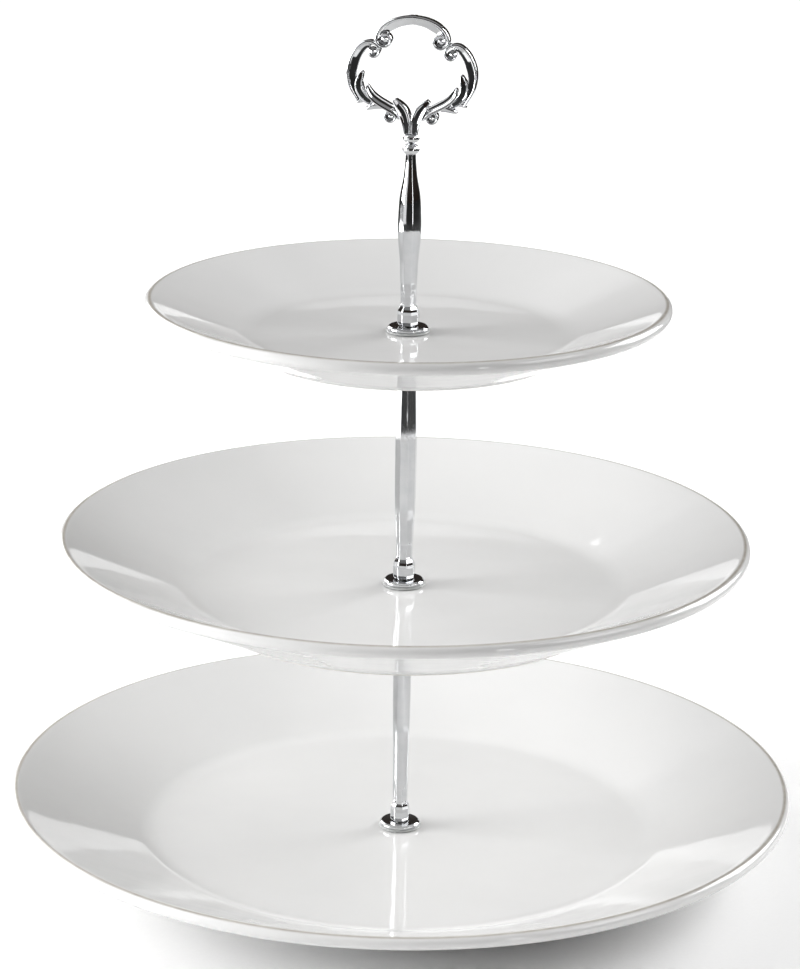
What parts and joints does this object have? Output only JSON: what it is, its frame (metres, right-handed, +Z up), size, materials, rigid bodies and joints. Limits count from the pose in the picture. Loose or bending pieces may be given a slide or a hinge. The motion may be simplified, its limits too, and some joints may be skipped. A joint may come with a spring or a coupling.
{
  "type": "tiered cake stand",
  "caption": "Free-standing tiered cake stand: round porcelain plates on a chrome column that unscrews between the tiers, with an open scrollwork ring on top as the handle.",
  "frame": {"origin": "on the floor, on the column's axis, at the middle of the bottom plate's foot ring", "axes": "+Z up along the column, X across the width of the handle ring, -Y towards the front"},
  "size_m": [0.3, 0.3, 0.3262],
  "materials": {
    "porcelain": "glossy white glaze",
    "chrome": "polished chrome plating",
    "steel": "zinc-plated steel",
    "gasket_plastic": "milky soft plastic"
  },
  "bodies": {
    "base": {"bottom_plate": "porcelain", "base_screw": "steel", "base_washer": "steel", "base_gasket": "gasket_plastic", "bottom_gasket": "gasket_plastic"},
    "bottom_disc": {"bottom_disc": "chrome"},
    "lower_column": {"lower_rod": "chrome", "middle_support_washer": "steel", "middle_support_gasket": "gasket_plastic", "middle_plate": "porcelain", "middle_gasket": "gasket_plastic"},
    "middle_disc": {"middle_disc": "chrome"},
    "middle_column": {"middle_rod": "chrome", "middle_stud": "steel", "top_support_washer": "steel", "top_support_gasket": "gasket_plastic", "top_plate": "porcelain", "top_gasket": "gasket_plastic"},
    "top_disc": {"top_disc": "chrome"},
    "handle": {"crown_handle": "chrome", "handle_stud": "steel"}
  },
  "joints": [
    {"name": "lower_rod_rise", "type": "slide", "parent": "base", "child": "bottom_disc", "axis": [0, 0, 1], "range_m": [0, 0.0056]},
    {"name": "lower_rod_turn", "type": "hinge", "parent": "bottom_disc", "child": "lower_column", "pos_m": [0, 0, 0], "axis": [0, 0, 1], "range_deg": [0, 2880]},
    {"name": "middle_rod_rise", "type": "slide", "parent": "lower_column", "child": "middle_disc", "axis": [0, 0, 1], "range_m": [0, 0.0056]},
    {"name": "middle_rod_turn", "type": "hinge", "parent": "middle_disc", "child": "middle_column", "pos_m": [0, 0, 0], "axis": [0, 0, 1], "range_deg": [0, 2880]},
    {"name": "handle_rise", "type": "slide", "parent": "middle_column", "child": "top_disc", "axis": [0, 0, 1], "range_m": [0, 0.0056]},
    {"name": "handle_turn", "type": "hinge", "parent": "top_disc", "child": "handle", "pos_m": [0, 0, 0], "axis": [0, 0, 1], "range_deg": [0, 2880]}
  ],
  "couplings": [
    {"joint": "lower_rod_rise", "follows": "lower_rod_turn", "m_per_rad": 0.00011141},
    {"joint": "middle_rod_rise", "follows": "middle_rod_turn", "m_per_rad": 0.00011141},
    {"joint": "handle_rise", "follows": "handle_turn", "m_per_rad": 0.00011141}
  ]
}
